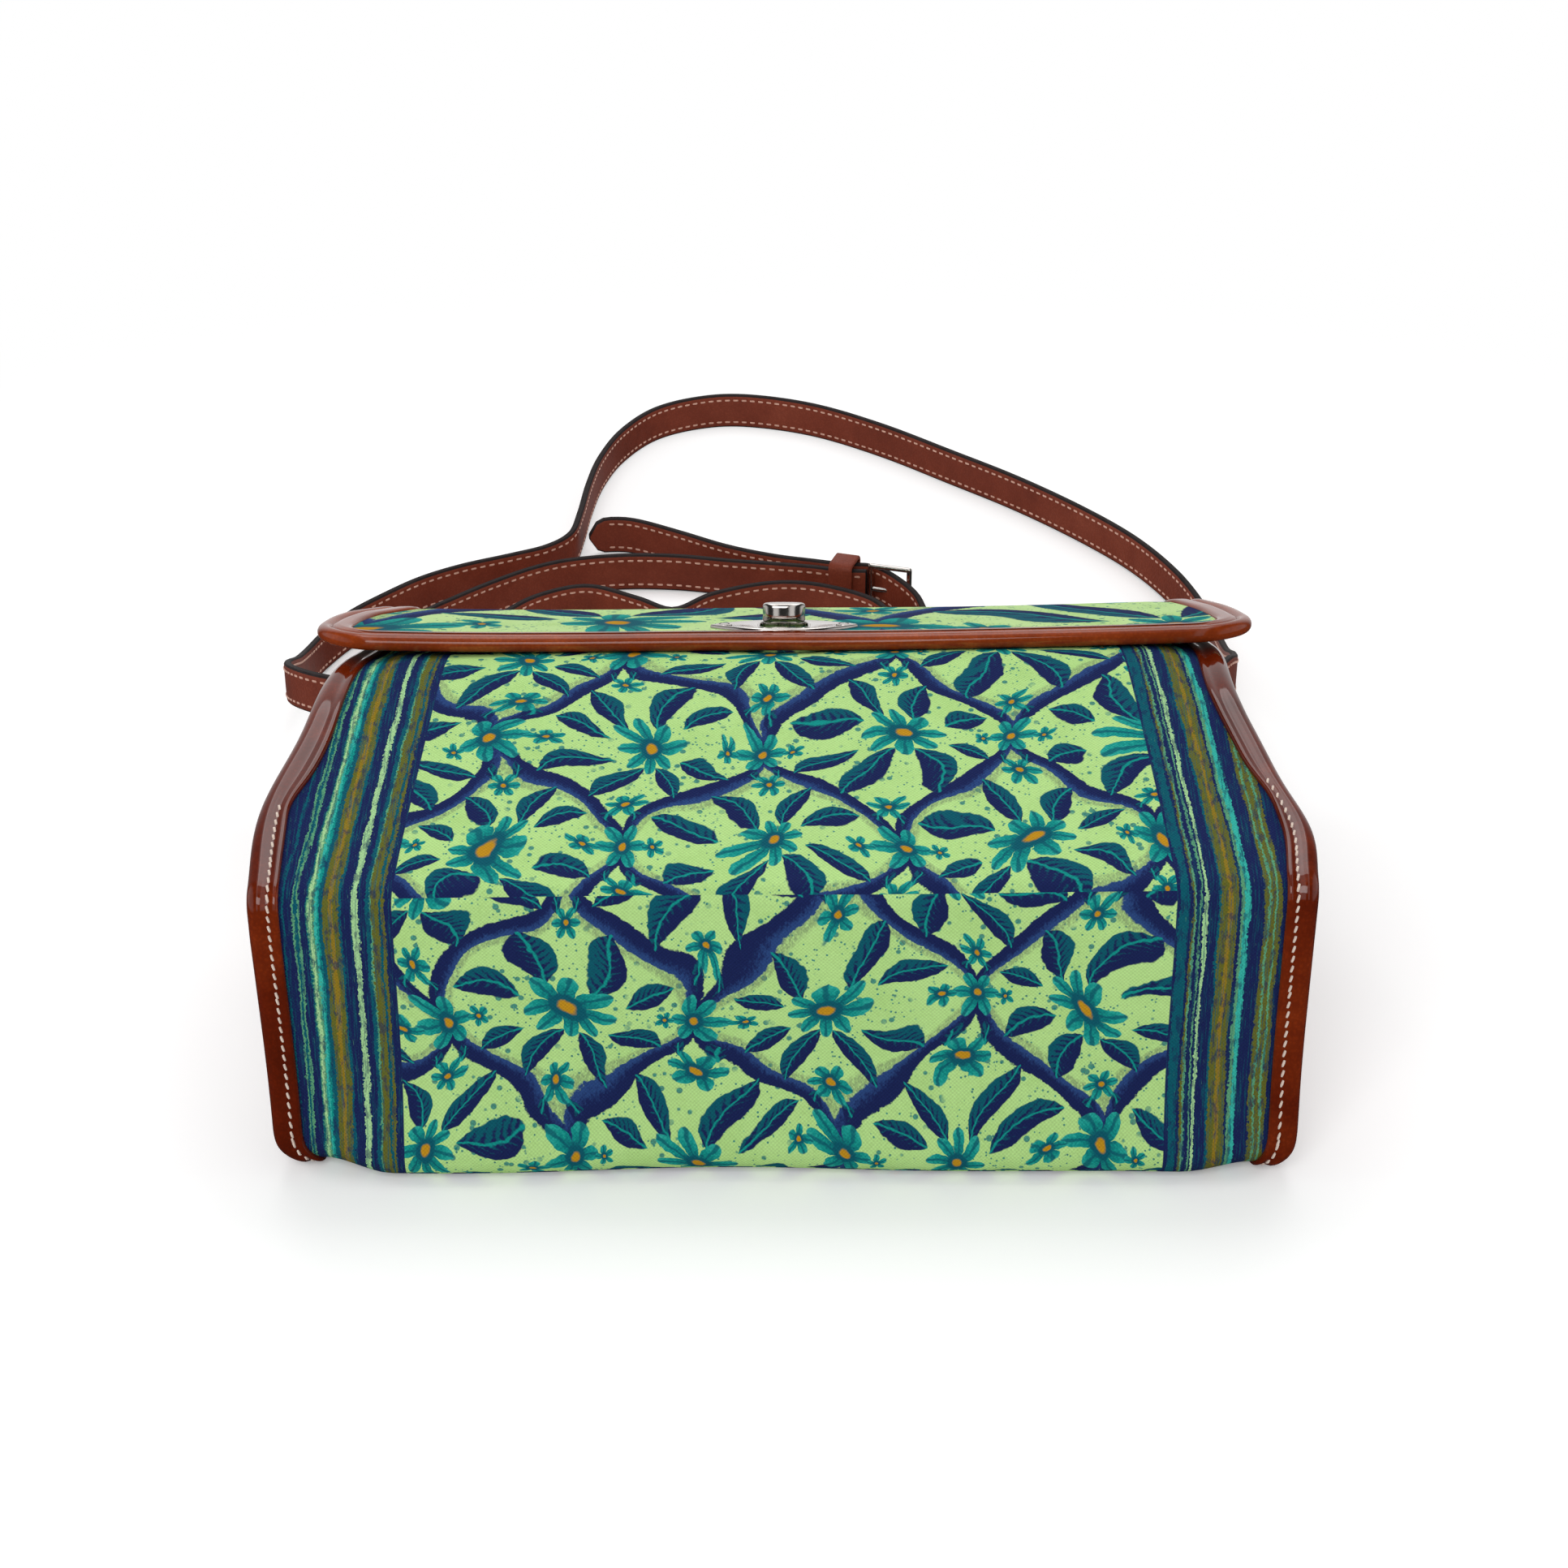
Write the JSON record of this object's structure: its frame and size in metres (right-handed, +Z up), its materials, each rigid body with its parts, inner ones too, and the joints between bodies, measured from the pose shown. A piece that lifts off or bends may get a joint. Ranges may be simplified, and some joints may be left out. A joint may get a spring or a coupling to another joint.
{
  "type": "satchel",
  "caption": "Printed canvas satchel with glossy leather sides, a flap with a rolled leather edge and a turn lock, and buckled leather straps; it lies on its back.",
  "frame": {"origin": "on the table under the middle of the bag without its straps, the bag lying on its back", "axes": "+X across the bag to the right, +Y towards the bag's mouth, +Z up, out of the bag's front"},
  "size_m": [0.4021, 0.6661, 0.1359],
  "materials": {
    "printed_canvas": "matte",
    "gloss_leather": "gloss",
    "strap_leather": "satin",
    "nickel": "polished"
  },
  "bodies": {
    "bag": {"front_panel": "printed_canvas", "bottom_panel": "printed_canvas", "back_panel": "printed_canvas", "left_gusset": "gloss_leather", "right_gusset": "gloss_leather", "left_strap_patch": "strap_leather", "right_strap_patch": "strap_leather", "lock_base": "nickel", "lock_base_washer": "nickel", "shoulder_strap": "strap_leather", "buckle_strap": "strap_leather", "tongue_strap": "strap_leather", "strap_keeper": "strap_leather", "buckle_frame": "nickel", "buckle_prong": "nickel"},
    "flap": {"flap_panel": "printed_canvas", "flap_trim": "gloss_leather", "lock_plate": "nickel", "lock_backplate": "nickel", "lock_screws": "nickel"},
    "knob": {"lock_knob": "nickel"}
  },
  "joints": [
    {"name": "flap_hinge", "type": "hinge", "parent": "bag", "child": "flap", "pos_m": [0, 0.12055, 0.03157], "axis": [-1, 0, 0], "range_deg": [0, 110]},
    {"name": "lock_turn", "type": "hinge", "parent": "bag", "child": "knob", "pos_m": [0, 0.02925, 0.12584], "axis": [0, 0.3007, 0.9537], "range_deg": [0, 90]}
  ]
}
